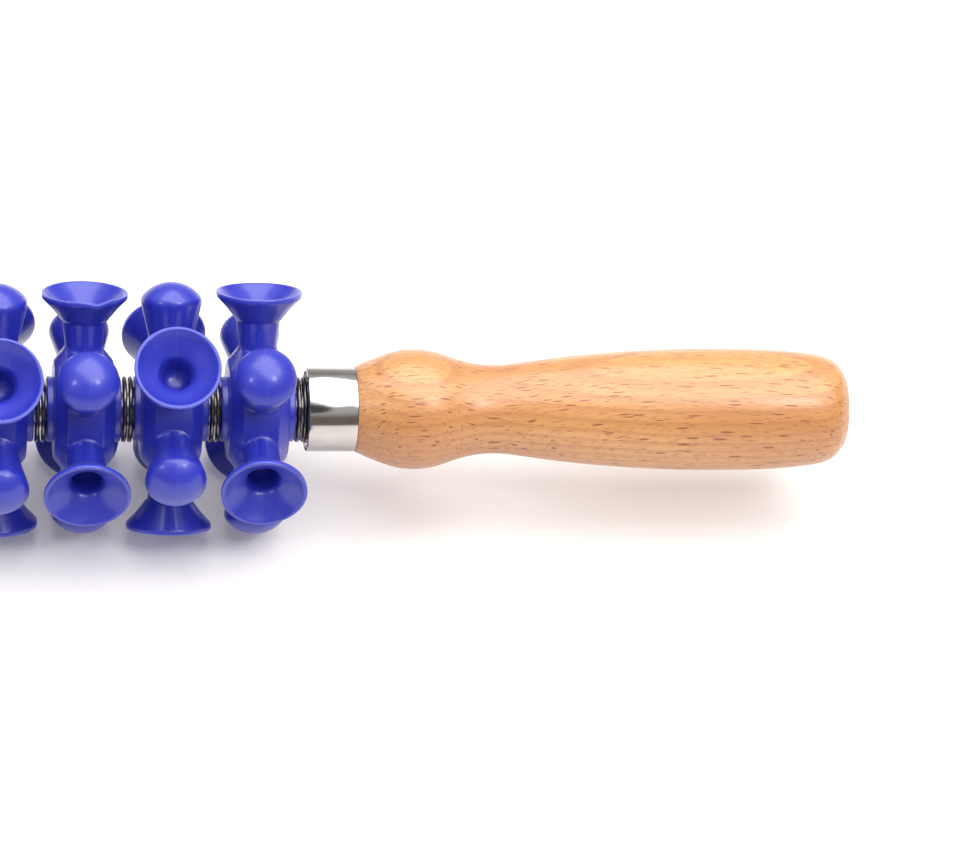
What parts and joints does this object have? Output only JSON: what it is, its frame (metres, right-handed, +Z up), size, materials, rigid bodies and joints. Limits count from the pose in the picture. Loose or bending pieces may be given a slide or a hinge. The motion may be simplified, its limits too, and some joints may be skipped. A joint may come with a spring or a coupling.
{
  "type": "foot massage roller",
  "caption": "Hand-held massage roller: soft blue wheels with suction cups and knobs turn freely on a steel axle between two turned wooden handles with steel ferrules.",
  "frame": {"origin": "under the middle of the axle, on the surface that the rollers stand on", "axes": "+X along the axle, +Z up"},
  "size_m": [0.5008, 0.0622, 0.0614],
  "materials": {
    "roller_rubber": "soft satin moulded",
    "sleeve_plastic": "smooth moulded",
    "axle_steel": "drawn bar",
    "nut_steel": "bright zinc",
    "washer_steel": "bright",
    "ferrule_steel": "polished, fine turning lines",
    "insert_brass": "turned",
    "beech": "lacquered"
  },
  "bodies": {
    "axle_and_handles": {"axle": "axle_steel", "thrust_washers_01": "washer_steel", "thrust_washers_02": "washer_steel", "thrust_washers_03": "washer_steel", "thrust_washers_04": "washer_steel", "thrust_washers_05": "washer_steel", "thrust_washers_06": "washer_steel", "thrust_washers_07": "washer_steel", "thrust_washers_08": "washer_steel", "thrust_washers_09": "washer_steel", "thrust_washers_10": "washer_steel", "thrust_washers_11": "washer_steel", "thrust_washers_12": "washer_steel", "lock_nut_left": "nut_steel", "ferrule_left": "ferrule_steel", "threaded_insert_left": "insert_brass", "handle_left": "beech", "lock_nut_right": "nut_steel", "ferrule_right": "ferrule_steel", "threaded_insert_right": "insert_brass", "handle_right": "beech"},
    "roller_01_body": {"roller_01": "roller_rubber", "roller_sleeve_01": "sleeve_plastic"},
    "roller_02_body": {"roller_02": "roller_rubber", "roller_sleeve_02": "sleeve_plastic"},
    "roller_03_body": {"roller_03": "roller_rubber", "roller_sleeve_03": "sleeve_plastic"},
    "roller_04_body": {"roller_04": "roller_rubber", "roller_sleeve_04": "sleeve_plastic"},
    "roller_05_body": {"roller_05": "roller_rubber", "roller_sleeve_05": "sleeve_plastic"},
    "roller_06_body": {"roller_06": "roller_rubber", "roller_sleeve_06": "sleeve_plastic"},
    "roller_07_body": {"roller_07": "roller_rubber", "roller_sleeve_07": "sleeve_plastic"},
    "roller_08_body": {"roller_08": "roller_rubber", "roller_sleeve_08": "sleeve_plastic"},
    "roller_09_body": {"roller_09": "roller_rubber", "roller_sleeve_09": "sleeve_plastic"},
    "roller_10_body": {"roller_10": "roller_rubber", "roller_sleeve_10": "sleeve_plastic"},
    "roller_11_body": {"roller_11": "roller_rubber", "roller_sleeve_11": "sleeve_plastic"}
  },
  "joints": [
    {"name": "roller_01_spin", "type": "hinge", "parent": "axle_and_handles", "child": "roller_01_body", "pos_m": [-0.105, 0, 0.03063], "axis": [1, 0, 0], "continuous": true},
    {"name": "roller_02_spin", "type": "hinge", "parent": "axle_and_handles", "child": "roller_02_body", "pos_m": [-0.084, 0, 0.03063], "axis": [1, 0, 0], "continuous": true},
    {"name": "roller_03_spin", "type": "hinge", "parent": "axle_and_handles", "child": "roller_03_body", "pos_m": [-0.063, 0, 0.03063], "axis": [1, 0, 0], "continuous": true},
    {"name": "roller_04_spin", "type": "hinge", "parent": "axle_and_handles", "child": "roller_04_body", "pos_m": [-0.042, 0, 0.03063], "axis": [1, 0, 0], "continuous": true},
    {"name": "roller_05_spin", "type": "hinge", "parent": "axle_and_handles", "child": "roller_05_body", "pos_m": [-0.021, 0, 0.03063], "axis": [1, 0, 0], "continuous": true},
    {"name": "roller_06_spin", "type": "hinge", "parent": "axle_and_handles", "child": "roller_06_body", "pos_m": [0, 0, 0.03063], "axis": [1, 0, 0], "continuous": true},
    {"name": "roller_07_spin", "type": "hinge", "parent": "axle_and_handles", "child": "roller_07_body", "pos_m": [0.021, 0, 0.03063], "axis": [1, 0, 0], "continuous": true},
    {"name": "roller_08_spin", "type": "hinge", "parent": "axle_and_handles", "child": "roller_08_body", "pos_m": [0.042, 0, 0.03063], "axis": [1, 0, 0], "continuous": true},
    {"name": "roller_09_spin", "type": "hinge", "parent": "axle_and_handles", "child": "roller_09_body", "pos_m": [0.063, 0, 0.03063], "axis": [1, 0, 0], "continuous": true},
    {"name": "roller_10_spin", "type": "hinge", "parent": "axle_and_handles", "child": "roller_10_body", "pos_m": [0.084, 0, 0.03063], "axis": [1, 0, 0], "continuous": true},
    {"name": "roller_11_spin", "type": "hinge", "parent": "axle_and_handles", "child": "roller_11_body", "pos_m": [0.105, 0, 0.03063], "axis": [1, 0, 0], "continuous": true}
  ]
}
